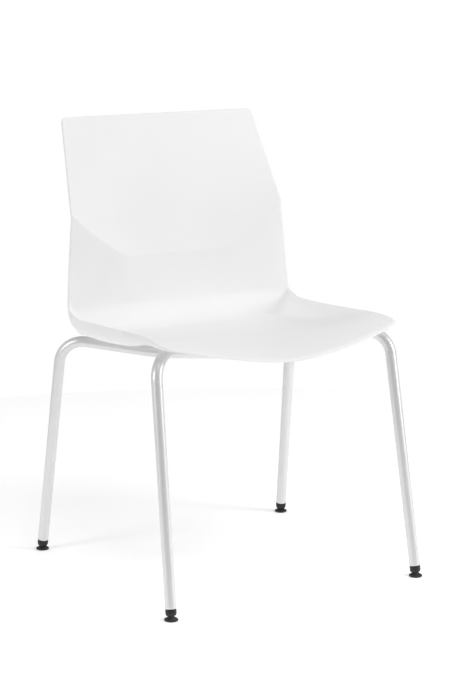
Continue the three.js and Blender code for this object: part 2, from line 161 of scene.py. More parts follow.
class Nodes:
    """A material's node tree, with short calls to fill it."""

    def __init__(self, name, colour, roughness, metallic=0.0):
        self.material = bpy.data.materials.new(name)
        self.material.use_nodes = True
        self.tree = self.material.node_tree
        self.shader = self.tree.nodes["Principled BSDF"]
        self.shader.inputs["Base Color"].default_value = (*colour, 1)
        self.shader.inputs["Roughness"].default_value = roughness
        self.shader.inputs["Metallic"].default_value = metallic
        self.place = self.add("ShaderNodeTexCoord").outputs["Object"]
        self.normal = None

    def add(self, kind, **values):
        node = self.tree.nodes.new(kind)
        for key, value in values.items():
            setattr(node, key, value)
        return node

    def link(self, source, target):
        self.tree.links.new(source, target)

    def scaled(self, scale):
        mapping = self.add("ShaderNodeMapping")
        mapping.inputs["Scale"].default_value = scale
        self.link(self.place, mapping.inputs["Vector"])
        return mapping.outputs["Vector"]

    def noise(self, scale, detail=3.0, roughness=0.55, stretch=None):
        node = self.add("ShaderNodeTexNoise")
        node.inputs["Scale"].default_value = scale
        node.inputs["Detail"].default_value = detail
        node.inputs["Roughness"].default_value = roughness
        self.link(self.scaled(stretch) if stretch else self.place, node.inputs["Vector"])
        return node.outputs["Fac"]

    def cells(self, scale):
        node = self.add("ShaderNodeTexVoronoi", feature="SMOOTH_F1")
        node.inputs["Scale"].default_value = scale
        self.link(self.place, node.inputs["Vector"])
        return node.outputs["Distance"]

    def ramp(self, source, low, high, from_low=0.3, from_high=0.7):
        node = self.add("ShaderNodeMapRange")
        node.inputs["From Min"].default_value = from_low
        node.inputs["From Max"].default_value = from_high
        node.inputs["To Min"].default_value = low
        node.inputs["To Max"].default_value = high
        self.link(source, node.inputs["Value"])
        return node.outputs["Result"]

    def tint(self, source, dark, light, low=0.3, high=0.7):
        node = self.add("ShaderNodeValToRGB")
        node.color_ramp.elements[0].position = low
        node.color_ramp.elements[0].color = (*dark, 1)
        node.color_ramp.elements[1].position = high
        node.color_ramp.elements[1].color = (*light, 1)
        self.link(source, node.inputs["Fac"])
        return node.outputs["Color"]

    def mixed(self, factor, first, second):
        node = self.add("ShaderNodeMix", data_type="RGBA")
        sockets = (node.inputs["Factor"], node.inputs[6], node.inputs[7])
        for value, socket in zip((factor, first, second), sockets):
            if isinstance(value, bpy.types.NodeSocket):
                self.link(value, socket)
            else:
                socket.default_value = (*value, 1) if isinstance(value, tuple) else value
        return node.outputs[2]

    def colour(self, source):
        self.link(source, self.shader.inputs["Base Color"])

    def rough(self, source):
        self.link(source, self.shader.inputs["Roughness"])

    def bump(self, source, depth_mm, strength):
        node = self.add("ShaderNodeBump")
        node.inputs["Strength"].default_value = strength
        node.inputs["Distance"].default_value = depth_mm * MM
        self.link(source, node.inputs["Height"])
        if self.normal:
            self.link(self.normal, node.inputs["Normal"])
        self.normal = node.outputs["Normal"]
        self.link(self.normal, self.shader.inputs["Normal"])


def shell_plastic():
    m = Nodes("shell_plastic", (0.84, 0.84, 0.84), 0.5)
    m.shader.inputs["Specular IOR Level"].default_value = 0.4
    cloud = m.noise(9, 4)
    faint = m.tint(cloud, (0.832, 0.832, 0.832), (0.848, 0.848, 0.848))
    scuffs = m.ramp(m.noise(70, 6, 0.7, (1, 1, 0.35)), 0.0, 0.35, 0.62, 0.8)
    m.colour(m.mixed(scuffs, faint, (0.815, 0.815, 0.814)))
    m.rough(m.ramp(m.noise(260, 4), 0.44, 0.56))
    m.bump(m.noise(420, 3, 0.6, (0.06, 0.3, 1)), 0.10, 0.35)
    m.bump(m.cells(1500), 0.05, 0.4)
    return m.material


def frame_paint():
    m = Nodes("frame_paint", (0.71, 0.71, 0.708), 0.3, 0.4)
    m.shader.inputs["Coat Weight"].default_value = 0.6
    m.shader.inputs["Coat Roughness"].default_value = 0.2
    m.colour(m.tint(m.noise(14, 4), (0.7, 0.7, 0.698), (0.72, 0.72, 0.718)))
    m.rough(m.ramp(m.noise(180, 5), 0.32, 0.44))
    m.bump(m.noise(620, 2, 0.5), 0.07, 0.5)
    return m.material


def black_plastic():
    m = Nodes("glide_plastic", (0.012, 0.012, 0.013), 0.5)
    dust = m.ramp(m.noise(900, 6, 0.7), 0.0, 0.5, 0.55, 0.8)
    black = m.tint(m.noise(120, 3), (0.009, 0.009, 0.01), (0.017, 0.017, 0.018))
    m.colour(m.mixed(dust, black, (0.05, 0.05, 0.05)))
    m.rough(m.ramp(m.noise(500, 4), 0.4, 0.62))
    m.bump(m.cells(3200), 0.04, 0.5)
    return m.material


def sole_rubber():
    m = Nodes("glide_sole", (0.03, 0.03, 0.032), 0.85)
    grit = m.ramp(m.noise(700, 6, 0.75), 0.0, 0.7, 0.5, 0.75)
    m.colour(m.mixed(grit, (0.026, 0.026, 0.028), (0.1, 0.095, 0.09)))
    m.rough(m.ramp(m.noise(400, 4), 0.72, 0.95))
    m.bump(m.noise(1500, 4, 0.6), 0.08, 0.7)
    return m.material


def zinc_steel():
    m = Nodes("zinc_steel", (0.55, 0.56, 0.57), 0.36, 1.0)
    patches = m.cells(420)
    m.colour(m.tint(patches, (0.48, 0.49, 0.51), (0.62, 0.625, 0.63), 0.1, 0.6))
    m.rough(m.ramp(m.noise(800, 4), 0.28, 0.46))
    m.bump(m.noise(2600, 2, 0.5, (1, 1, 5)), 0.02, 0.5)
    return m.material


def insert_brass():
    m = Nodes("insert_brass", (0.6, 0.45, 0.2), 0.32, 1.0)
    m.colour(m.tint(m.noise(500, 4), (0.5, 0.36, 0.15), (0.66, 0.5, 0.24)))
    m.rough(m.ramp(m.noise(900, 3), 0.24, 0.42))
    m.bump(m.noise(2200, 2, 0.5, (1, 1, 6)), 0.02, 0.5)
    return m.material


MATERIALS = {
    "shell_plastic": shell_plastic(),
    "frame_paint": frame_paint(),
    "glide_plastic": black_plastic(),
    "glide_sole": sole_rubber(),
    "zinc_steel": zinc_steel(),
    "insert_brass": insert_brass(),
}

# ---------------------------------------------------------------- mesh helpers


def piece(name, points, faces, slot, body="frame", nodes=(), smooth_angle=35):
    """A closed mesh from points in millimetres, on a CAD body, in place of CAD nodes."""
    mesh = bpy.data.meshes.new(name)
    mesh.from_pydata([Vector(p) * MM for p in points], [], faces)
    tidy = bmesh.new()
    tidy.from_mesh(mesh)
    bmesh.ops.remove_doubles(tidy, verts=tidy.verts, dist=1e-6)
    bmesh.ops.dissolve_degenerate(tidy, dist=1e-7, edges=tidy.edges)
    bmesh.ops.recalc_face_normals(tidy, faces=tidy.faces)
    for face in tidy.faces:
        face.smooth = True
    for edge in tidy.edges:
        if len(edge.link_faces) == 2:
            edge.smooth = edge.calc_face_angle(0) < math.radians(smooth_angle)
    tidy.to_mesh(mesh)
    tidy.free()
    mesh.materials.append(MATERIALS[slot])
    made = bpy.data.objects.new(name, mesh)
    bpy.context.scene.collection.objects.link(made)
    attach(made, body)
    if nodes:
        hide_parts(*nodes)


def rounded_profile(corners):
    """(radius, height[, rounding]) corners to points, each corner cut by an arc."""
    points = []
    for i, corner in enumerate(corners):
        here = Vector(corner[:2])
        size = corner[2] if len(corner) > 2 else 0
        if not size or i in (0, len(corners) - 1):
            points.append(tuple(here))
            continue
        into = Vector(corners[i - 1][:2]) - here
        out = Vector(corners[i + 1][:2]) - here
        size = min(size, into.length * 0.49, out.length * 0.49)
        a = here + into.normalized() * size
        b = here + out.normalized() * size
        for k in range(5):
            t = k / 4
            points.append(tuple(a * (1 - t) ** 2 + here * 2 * t * (1 - t) + b * t * t))
    return points


def turned(profile, sides=48, shape=None):
    """Points and faces of a solid of revolution. shape(radius, height, angle) may change a radius."""
    points, faces = [], []
    for radius, height in profile:
        for i in range(sides):
            angle = 2 * math.pi * i / sides
            r = shape(radius, height, angle) if shape else radius
            points.append((r * math.cos(angle), r * math.sin(angle), height))
    closed = profile[0] == profile[-1]
    for j in range(len(profile) - 1):
        for i in range(sides):
            k = (i + 1) % sides
            faces.append((j * sides + i, j * sides + k, (j + 1) * sides + k, (j + 1) * sides + i))
    if not closed:
        for j in (0, len(profile) - 1):
            if profile[j][0] > 1e-6:
                faces.append(tuple(j * sides + i for i in range(sides)))
    return points, faces


def moved(shape, matrix):
    points, faces = shape
    return [tuple(matrix @ Vector(p)) for p in points], faces


def merged(*shapes):
    points, faces = [], []
    for more_points, more_faces in shapes:
        start = len(points)
        points += more_points
        faces += [tuple(i + start for i in face) for face in more_faces]
    return points, faces


def swept(path, radius_at, sides=40, bore=0, end_rounding=0.6):
    """A round tube along a path of Vectors."""
    tangents = []
    for i, here in enumerate(path):
        before = path[max(i - 1, 0)]
        after = path[min(i + 1, len(path) - 1)]
        into = (here - before).normalized() if i else (after - here).normalized()
        out = (after - here).normalized() if i < len(path) - 1 else into
        tangents.append((into + out).normalized())
    side = tangents[0].orthogonal().normalized()
    sides_at = []
    for i, tangent in enumerate(tangents):
        if i:
            side = (tangents[i - 1].rotation_difference(tangent) @ side).normalized()
        sides_at.append(side.copy())

    def ring(i, radius, shift=0.0):
        across = sides_at[i]
        other = tangents[i].cross(across)
        centre = path[i] + tangents[i] * shift
        return [
            tuple(centre + across * radius * math.cos(a) + other * radius * math.sin(a))
            for a in (2 * math.pi * k / sides for k in range(sides))
        ]

    last = len(path) - 1
    start, finish = radius_at(0), radius_at(1)
    cut, part = end_rounding, end_rounding * 0.3
    rings = [ring(0, start - cut), ring(0, start - part, part), ring(0, start, cut)]
    rings += [ring(i, radius_at(i / last)) for i in range(1, last)]
    rings += [ring(last, finish, -cut), ring(last, finish - part, -part), ring(last, finish - cut)]
    if bore:
        rings += [ring(i, bore) for i in range(last, -1, -1)]
    points = [p for each in rings for p in each]
    faces = []
    count = len(rings)
    for j in range(count if bore else count - 1):
        n = (j + 1) % count
        for i in range(sides):
            k = (i + 1) % sides
            faces.append((j * sides + i, j * sides + k, n * sides + k, n * sides + i))
    if not bore:
        faces.append(tuple(range(sides)))
        faces.append(tuple((count - 1) * sides + i for i in range(sides)))
    return points, faces


def plate(outline, holes, depth, bevel):
    """A flat plate with rounded edges, from Blender's own filled curve, in z from 0 to depth."""
    curve = bpy.data.curves.new("outline", "CURVE")
    curve.dimensions = "2D"
    curve.fill_mode = "BOTH"
    curve.extrude = depth / 2 - bevel
    curve.bevel_depth = bevel
    curve.bevel_resolution = 2
    curve.offset = -bevel
    for loop in (outline, *holes):
        spline = curve.splines.new("POLY")
        spline.points.add(len(loop) - 1)
        spline.use_cyclic_u = True
        for point, (x, y) in zip(spline.points, loop):
            point.co = (x, y, 0, 1)
    holder = bpy.data.objects.new("outline", curve)
    bpy.context.scene.collection.objects.link(holder)
    mesh = bpy.data.meshes.new_from_object(holder)
    bpy.data.objects.remove(holder)
    points = [(v.co.x, v.co.y, v.co.z + depth / 2) for v in mesh.vertices]
    faces = [tuple(p.vertices) for p in mesh.polygons]
    bpy.data.meshes.remove(mesh)
    return points, faces


def arc2d(x, y, radius, start, end, steps):
    angles = [start + (end - start) * i / steps for i in range(steps + 1)]
    return [(x + radius * math.cos(a), y + radius * math.sin(a)) for a in angles]


# ---------------------------------------------------------------- the shell


def mix(a, b, t):
    return a + (b - a) * t


def smooth(t):
    t = np.clip(t, 0, 1)
    return t * t * (3 - 2 * t)


def soft_ramp(t, width):
    return width * np.log1p(np.exp(t / width))


def back_half_width(z):
    lower = mix(FOLD_HALF_WIDTH, EAR_HALF_WIDTH, (z - FOLD_Z) / (EAR_Z - FOLD_Z))
    upper = mix(EAR_HALF_WIDTH, TOP_HALF_WIDTH, (z - EAR_Z) / (TOP_Z - EAR_Z))
    return np.where(z < EAR_Z, lower, upper)


def crease_height(u):
    past = soft_ramp(np.abs(u) - CREASE_LEVEL, CREASE_ROUNDING)
    end = 1 - CREASE_LEVEL

    def rise(d):
        return CREASE_SLANT * d + CREASE_BOW * d * d

    return CREASE_Z + (rise(past) * (EAR_Z - CREASE_Z)) / rise(end)


def upper_depth(u, z):
    middle = CREASE_Y + BACK_LEAN * (z - CREASE_Z)
    edge = EAR_Y + EDGE_LEAN * (z - EAR_Z)
    return mix(middle, edge, np.abs(u) ** BACK_HOLLOW)


def lower_depth(u, t):
    bow = LOWER_BOW * u**4
    return mix(FOLD_Y, upper_depth(u, crease_height(u)), t + bow * t * (1 - t))


def seat_half_width(y):
    flare = np.maximum(0, (WAIST_Y - y) / FRONT_FLARE) ** 2
    rear = np.exp((y - FOLD_Y) / REAR_FLARE)
    return (
        SEAT_HALF_WIDTH
        + (FRONT_HALF_WIDTH - SEAT_HALF_WIDTH) * flare
        + (FOLD_HALF_WIDTH - SEAT_HALF_WIDTH) * rear
    )


def front_edge(x):
    return FRONT_Y + FRONT_SWEEP * np.abs(x / FRONT_HALF_WIDTH) ** 3


def dish_height(x, y):
    rim = RIM_FRONT_Z - RIM_DROP * smooth((y - RIM_DROP_Y) / RIM_DROP_LENGTH)
    middle = DISH_FRONT_Z - DISH_DROP * smooth((y - DISH_DROP_Y) / DISH_DROP_LENGTH)
    half_width = seat_half_width(y)

    def valley(d):
        return np.hypot(d, VALLEY_WIDTH) - VALLEY_WIDTH

    open_dish = valley(x) / valley(half_width)
    walled = np.maximum(0, 1 - (half_width - np.abs(x)) / WALL_WIDTH) ** WALL_POWER
    return middle + (rim - middle) * mix(open_dish, walled, smooth((y - WALLED_Y) / WALLED_LENGTH))


def seat_height(x, y, u):
    rise = FOLD_Z - dish_height(x, FOLD_Y)
    length = mix(REAR_LENGTH, REAR_LENGTH_EDGE, np.abs(u) ** REAR_EDGE_POWER)
    inner = np.maximum(0, 1 - (FOLD_Y - y) / length) ** REAR_POWER
    rim = np.maximum(0, 1 - (FOLD_Y - y) / RIM_REAR_LENGTH) ** RIM_REAR_POWER
    rear = mix(inner, rim, smooth((np.abs(u) - RIM_SHARE) / (1 - RIM_SHARE)))
    near_lip = np.maximum(0, 1 - (y - front_edge(x)) / LIP_LENGTH)
    return dish_height(x, y) + rise * rear - LIP_DROP * near_lip**2


def flange_drop(y):
    """How much lower than the shell's thickness the seat's side edges reach."""
    front = smooth((y - FLANGE_FRONT_Y) / (FLANGE_FULL_Y - FLANGE_FRONT_Y))
    return FLANGE_DROP * front * (1 - np.exp(np.minimum(0, y - FOLD_Y) / FLANGE_END))


def rounded_corner(a, b, radius):
    """New distances from two edges that meet at a rounded corner, and from the outline itself."""
    p = np.clip(1 - a / radius, 0, 1)
    q = np.clip(1 - b / radius, 0, 1)
    both = (p > 0) & (q > 0)
    new_a = np.where(both, radius * (1 - p * np.sqrt(1 - q * q / 2)), a)
    new_b = np.where(both, radius * (1 - q * np.sqrt(1 - p * p / 2)), b)
    within = radius * (1 - np.sqrt(p * p + q * q - p * p * q * q))
    return new_a, new_b, np.where(both, within, np.minimum(a, b))


def seat_row(u, y):
    front = front_edge(u * FRONT_HALF_WIDTH)
    half_width = seat_half_width(y)
    a, b, edge = rounded_corner(half_width * (1 - np.abs(u)), y - front, FRONT_CORNER_RADIUS)
    x = np.sign(u) * (half_width - a)
    # the corner follows the front edge's own sweep
    depth = front + b + front_edge(x) - front_edge(half_width * u)
    return np.stack([x, depth, seat_height(x, depth, u)], -1), edge


def lower_row(u, t):
    z = mix(FOLD_Z, crease_height(u), t)
    half_width = back_half_width(z)
    return np.stack([u * half_width, lower_depth(u, t), z], -1), half_width * (1 - np.abs(u))


def upper_row(u, z):
    half_width = back_half_width(z)
    a, b, edge = rounded_corner(half_width * (1 - np.abs(u)), TOP_Z - z, TOP_CORNER_RADIUS)
    x = np.sign(u) * (half_width - a)
    return np.stack([x, upper_depth(u, z), TOP_Z - b], -1), edge


RIM_STEPS = [0, 0.05, 0.18, 0.36, 0.6, 1.0]  # shares of the rim's rounding
CLOSE_STEPS = [0, 0.8, 1.7, 2.7, 3.9, 5.4, 7.2, 9.4, 12, 15]  # millimetres from a fold
ROW_STEPS = [4.2, 6.5, 9.5]  # millimetres from the front or top edge, inside the rim
COLUMN_STEPS = [4.2, 6.2, 8.6, 11.4, 14.5]  # the same from a side edge
GRID_HALF_WIDTH = 240
CORE_COLUMNS = 46
SEAT_ROWS, LOWER_ROWS, UPPER_ROWS = 84, 22, 46  # evenly spaced rows of each panel


def columns():
    """Shares of the half width from -1 to 1, closer together near the side edges."""
    outer = [1 - s * RIM_ROUNDING / GRID_HALF_WIDTH for s in RIM_STEPS]
    outer += [1 - d / GRID_HALF_WIDTH for d in COLUMN_STEPS]
    core = [outer[-1] * (1 - i / CORE_COLUMNS) for i in range(1, CORE_COLUMNS)]
    half = outer + core
    return np.array([-v for v in half] + [0.0] + half[::-1])


def blended_rows(near, far, count):
    """Row places from 0 to 1: near and far hold distances from the two ends."""

    def places(length):
        first = [d / length for d in near]
        last = [1 - d / length for d in far][::-1]
        between = [first[-1] + (last[0] - first[-1]) * i / (count + 1) for i in range(1, count + 1)]
        return first + between + last

    return places


def shell_surface():
    """The sitter's side of the shell as a grid, its distance to the outline, and the flange's drop."""
    u = columns()
    rim = [s * RIM_ROUNDING for s in RIM_STEPS] + ROW_STEPS
    rows, edges = [], []

    front = front_edge(u * FRONT_HALF_WIDTH)
    length = FOLD_Y - front
    seat_places = np.array([blended_rows(rim, CLOSE_STEPS, SEAT_ROWS)(v) for v in length]).T
    for place in seat_places:
        points, edge = seat_row(u, front + length * place)
        rows.append(points)
        edges.append(edge)
    fold = len(rows) - 1

    lower_steps = blended_rows(CLOSE_STEPS[1:], CLOSE_STEPS, LOWER_ROWS)
    lower_places = np.array([lower_steps(v - FOLD_Z) for v in crease_height(u)]).T
    for place in lower_places:
        points, edge = lower_row(u, place)
        rows.append(points)
        edges.append(edge)
    crease = len(rows) - 1

    top = TOP_Z - crease_height(u)
    upper_places = np.array([blended_rows(CLOSE_STEPS[1:], rim, UPPER_ROWS)(v) for v in top]).T
    for place in upper_places:
        points, edge = upper_row(u, crease_height(u) + top * place)
        rows.append(points)
        edges.append(edge)
    surface, edges = np.array(rows), np.array(edges)
    drops = np.zeros_like(edges)
    drops[:fold] = flange_drop(surface[:fold, :, 1])

    # the fold and the crease have small radii
    for row, reach, turns in ((fold, FOLD_REACH, FOLD_TURNS), (crease, CREASE_REACH, CREASE_TURNS)):
        for _ in range(turns):
            near = slice(row - reach, row + reach + 1)
            before = surface[row - reach - 1 : row + reach]
            after = surface[row - reach + 1 : row + reach + 2]
            surface[near] = surface[near] * 0.5 + (before + after) * 0.25

    # towards the sides the fold opens into a wide fillet
    on_seat = np.arange(len(surface))[:, None] <= fold
    from_fold = np.where(on_seat, surface[fold, :, 1] - surface[..., 1], surface[..., 2] - FOLD_Z)
    near_fold = smooth(1 - np.abs(from_fold) / FILLET_REACH)
    at_side = smooth((np.abs(u) - FILLET_FROM) / (FILLET_FULL - FILLET_FROM))
    weight = (near_fold * at_side)[1:-1, :, None] * 0.5
    for _ in range(FILLET_TURNS):
        surface[1:-1] += weight * ((surface[:-2] + surface[2:]) / 2 - surface[1:-1])
    return surface, edges, drops


def shell_mesh():
    """Both sides of the shell, closed at its rounded edges, with the flange."""
    u = columns()
    surface, edges, drops = shell_surface()
    along = np.gradient(surface, axis=0)
    across = np.gradient(surface, axis=1)
    normals = np.cross(across, along)
    size = np.linalg.norm(normals, axis=2)
    normals /= size[..., None]
    # where the grid closes up at a corner, the normal comes from further in
    spread = size / (np.linalg.norm(along, axis=2) * np.linalg.norm(across, axis=2))
    middle = len(u) // 2
    for j in range(middle + 1, len(u)):
        for column, inner in ((j, j - 1), (2 * middle - j, 2 * middle - j + 1)):
            closed = spread[:, column] < CLOSED_GRID
            normals[closed, column] = normals[closed, inner]

    # half-round edges, and a wider rounding over the front lip
    lip = smooth((LIP_ROUND_Y - surface[..., 1]) / LIP_ROUND_FADE)
    lip *= 1 - LIP_CORNER_LOSS * smooth((np.abs(u) - LIP_CORNER_FROM) / (1 - LIP_CORNER_FROM))
    depth = mix(SHELL_THICKNESS / 2, LIP_DEPTH, lip)
    above = 1 - np.clip(edges / mix(RIM_ROUNDING, LIP_ROUNDING, lip), 0, 1)
    below = 1 - np.clip(edges / RIM_ROUNDING, 0, 1)
    full = np.sqrt(1 - below**2)
    upper = surface - normals * (depth * (1 - np.sqrt(1 - above**2)))[..., None]
    lower = surface - normals * (depth + (SHELL_THICKNESS - depth) * full)[..., None]

    # the flange under the seat's side edges
    outside = np.sqrt(1 - below**6)
    inside = smooth((FLANGE_WIDTH - edges) / (FLANGE_WIDTH - FLANGE_FOOT))
    share = np.where(edges < RIM_ROUNDING, outside, inside)
    upright = (share * drops / FLANGE_DROP * full)[..., None]
    straight = upper - [0, 0, SHELL_THICKNESS]
    lower += (straight - lower) * upright
    lower[..., 2] -= share * drops
    widest = np.maximum(FOLD_HALF_WIDTH, np.abs(surface[..., 0]))
    for sheet in (upper, lower):
        sheet[..., 0] = np.clip(sheet[..., 0], -widest, widest)
    height, width = edges.shape
    points = np.concatenate([upper.reshape(-1, 3), lower.reshape(-1, 3)])
    index = np.arange(height * width).reshape(height, width)
    under = index + height * width
    under[0], under[-1], under[:, 0], under[:, -1] = index[0], index[-1], index[:, 0], index[:, -1]
    faces = []
    for i in range(height - 1):
        for j in range(width - 1):
            faces.append((index[i, j], index[i, j + 1], index[i + 1, j + 1], index[i + 1, j]))
            faces.append((under[i, j], under[i + 1, j], under[i + 1, j + 1], under[i, j + 1]))
    used = sorted({v for face in faces for v in face})
    place = {v: k for k, v in enumerate(used)}
    return [tuple(points[v]) for v in used], [tuple(place[v] for v in face) for face in faces]


piece("moulded_shell", *shell_mesh(), "shell_plastic", nodes=["seat_shell"], smooth_angle=60)


def boss_shapes(x, y):
    """One boss with its bore, and its ribs, sunk into the shell's underside."""
    crown = float(dish_height(np.array(x), np.array(y))) - SHELL_THICKNESS / 2
    bore = INSERT_RADIUS + GAP
    mouth = INSERT_FLANGE + GAP
    step = BOSS_FOOT + INSERT_FLANGE_HEIGHT + GAP
    post = turned(
        rounded_profile(
            [
                (0.01, BOSS_FOOT + INSERT_LENGTH + 1.2),
                (bore, BOSS_FOOT + INSERT_LENGTH + 1.2),
                (bore, step),
                (mouth, step),
                (mouth, BOSS_FOOT, 0.4),
                (BOSS_RADIUS - 0.8, BOSS_FOOT, 0.7),
                (BOSS_RADIUS, crown - 3.5, 1.5),
                (BOSS_RADIUS + 3, crown),
                (0.01, crown),
            ]
        ),
        56,
    )
    shapes = [moved(post, Matrix.Translation((x, y, 0)))]
    for i in range(RIB_COUNT):
        outline = [
            (BOSS_RADIUS - 2, BOSS_FOOT + 3),
            (BOSS_RADIUS, BOSS_FOOT + 3),
            (BOSS_RADIUS + RIB_LENGTH / 2 - 1.5, crown - 4.4),
            (BOSS_RADIUS + RIB_LENGTH / 2, crown - 3),
            (BOSS_RADIUS + RIB_LENGTH / 2, crown),
            (BOSS_RADIUS - 2, crown),
        ]
        rib = plate(outline, [], RIB_THICKNESS, 0.5)
        turn = (i + 0.5) * 2 * math.pi / RIB_COUNT
        upright = Matrix.Translation((x, y, 0)) @ Matrix.Rotation(turn, 4, "Z")
        upright = upright @ Matrix.Rotation(math.pi / 2, 4, "X")
        upright = upright @ Matrix.Translation((0, 0, -RIB_THICKNESS / 2))
        shapes.append(moved(rib, upright))
    return shapes


SCREWS = [
    (f"{end}_{side}", sign * STRAP_X, y)
    for end, y in SCREW_Y.items()
    for side, sign in SIDES
]

for name, x, y in SCREWS:
    piece(f"shell_boss_{name}", *merged(*boss_shapes(x, y)), "shell_plastic")

# ---------------------------------------------------------------- the frame


def arc_at(before, corner, after, radius, steps):
    into = (corner - before).normalized()
    out = (after - corner).normalized()
    turn = into.angle(out)
    start = corner - into * radius * math.tan(turn / 2)
    side = (out - into * out.dot(into)).normalized()
    angles = [turn * i / steps for i in range(steps + 1)]
    return [
        start + into * radius * math.sin(a) + side * radius * (1 - math.cos(a)) for a in angles
    ]


def mirrored(point):
    return Vector((-point[0], point[1], point[2]))


def leg_direction(leg):
    return (Vector(leg["knee"]) - Vector(leg["foot"])).normalized()


def frame_path(leg):
    end = Vector(leg["foot"]) + leg_direction(leg) * (COLLAR_ABOVE + COLLAR_LENGTH + GAP)
    knee, middle = Vector(leg["knee"]), Vector(leg["middle"])
    half = [end, end + leg_direction(leg) * 3, *arc_at(end, knee, middle, BEND_RADIUS, 28)]
    half += arc_at(knee, middle, mirrored(middle), PLAN_BEND_RADIUS, 14)
    return half + [mirrored(p) for p in reversed(half)]


for end, leg in LEGS.items():
    path = frame_path(leg)
    piece(
        f"{end}_leg_tube",
        *swept(path, lambda t: TUBE_RADIUS, 48, TUBE_BORE),
        "frame_paint",
        nodes=[f"{end}_frame_tube"],
    )


def weld_bead(start, finish, radius, seed):
    """A rippled bead between two points, with rounded ends."""
    steps = max(24, int((finish - start).length * 1.6))
    rng = np.random.default_rng(seed)
    wobble = np.convolve(rng.normal(0, 1, steps + 9), np.ones(5) / 5, "same")
    path = [start.lerp(finish, i / steps) + UP * 0.12 * wobble[i] for i in range(steps + 1)]

    def radius_at(t):
        ends = math.sqrt(max(0.0, 1 - abs(2 * t - 1) ** 12))
        ripple = 0.09 * math.cos(t * (finish - start).length * 2 * math.pi / 2.4)
        return radius * (0.35 + 0.65 * ends) * (1 + ripple)

    return swept(path, radius_at, 18, 0, 0.2)


front_middle, rear_middle = Vector(LEGS["front"]["middle"]), Vector(LEGS["rear"]["middle"])
strap_front = front_middle.y + math.sqrt(TUBE_RADIUS**2 - (front_middle.z - STRAP_TOP) ** 2) + GAP
STRAP_CORNER = 3
HOLE_SIDES = 48
for side, sign in SIDES:
    low_x, high_x = STRAP_X - STRAP_WIDTH / 2, STRAP_X + STRAP_WIDTH / 2
    outline = [(low_x, strap_front), (high_x, strap_front)]
    corner_y = STRAP_REAR - STRAP_CORNER
    outline += arc2d(high_x - STRAP_CORNER, corner_y, STRAP_CORNER, 0, math.pi / 2, 6)
    outline += arc2d(low_x + STRAP_CORNER, corner_y, STRAP_CORNER, math.pi / 2, math.pi, 6)
    last_turn = 2 * math.pi * (HOLE_SIDES - 1) / HOLE_SIDES
    holes = [
        arc2d(STRAP_X, y, SCREW_HOLE_RADIUS, 0, last_turn, HOLE_SIDES - 1)
        for y in SCREW_Y.values()
    ]
    bar = plate(outline, holes, STRAP_THICKNESS, 0.6)
    under = STRAP_TOP - STRAP_THICKNESS
    bar = moved(bar, Matrix.Scale(sign, 4, (1, 0, 0)) @ Matrix.Translation((0, 0, under)))
    piece(f"mounting_strap_plate_{side}", *bar, "frame_paint", nodes=[f"mounting_strap_{side}"])
    beads = []
    for k, (y, z, radius) in enumerate(
        (
            (strap_front + 0.6, STRAP_TOP - 0.2, 2.3),
            (strap_front - 0.4, under + 0.4, 2.3),
            (rear_middle.y - 5.2, under - 0.7, 1.9),
            (rear_middle.y + 5.2, under - 0.7, 1.9),
        )
    ):
        ends = [Vector((sign * v, y, z)) for v in (low_x + 1.5, high_x - 1.5)]
        beads.append(weld_bead(*ends, radius, 11 * k + (3 if sign > 0 else 8)))
    piece(f"strap_weld_{side}", *merged(*beads), "frame_paint")

# ---------------------------------------------------------------- fasteners


def hexagon(radius, angle):
    return radius * math.cos(math.pi / 6) / math.cos((angle % (math.pi / 3)) - math.pi / 6)


washer_top = STRAP_TOP - STRAP_THICKNESS - GAP
washer_foot = washer_top - WASHER_THICKNESS
head_top = washer_foot - GAP
head_foot = head_top - HEAD_HEIGHT
screw_tip = BOSS_FOOT + INSERT_LENGTH - 0.5
socket_floor = head_foot + SOCKET_DEPTH
SCREW_PROFILE = [(0.01, socket_floor + 0.4), (SOCKET_RADIUS * 0.6, socket_floor + 0.1)]
SCREW_PROFILE += [(SOCKET_RADIUS, socket_floor), (SOCKET_RADIUS, head_foot + 0.5)]
SCREW_PROFILE += [(SOCKET_RADIUS + 0.25, head_foot)]
SCREW_PROFILE += rounded_profile(
    [
        (SOCKET_RADIUS + 0.6, head_foot),
        (HEAD_RADIUS - 1.1, head_foot, 0.5),
        (HEAD_RADIUS, head_foot + 1.7, 1.0),
        (HEAD_RADIUS, head_top, 0.3),
        (SCREW_RADIUS + 0.3, head_top),
        (SCREW_RADIUS, head_top + 0.3),
    ]
)
THREAD_PITCH = 1.0
thread_from = head_top + 4.5
while thread_from < screw_tip - 1.4:
    SCREW_PROFILE.append((SCREW_RADIUS - 0.35, thread_from))
    SCREW_PROFILE.append((SCREW_RADIUS, thread_from + THREAD_PITCH / 2))
    thread_from += THREAD_PITCH
SCREW_PROFILE += [(SCREW_RADIUS - 0.3, screw_tip - 0.9), (SCREW_RADIUS - 0.9, screw_tip)]
SCREW_PROFILE.append((0.01, screw_tip))


def screw_shape(radius, height, angle):
    inside_socket = radius <= SOCKET_RADIUS + 0.3 and height < socket_floor + 0.5
    return hexagon(radius, angle) if inside_socket else radius


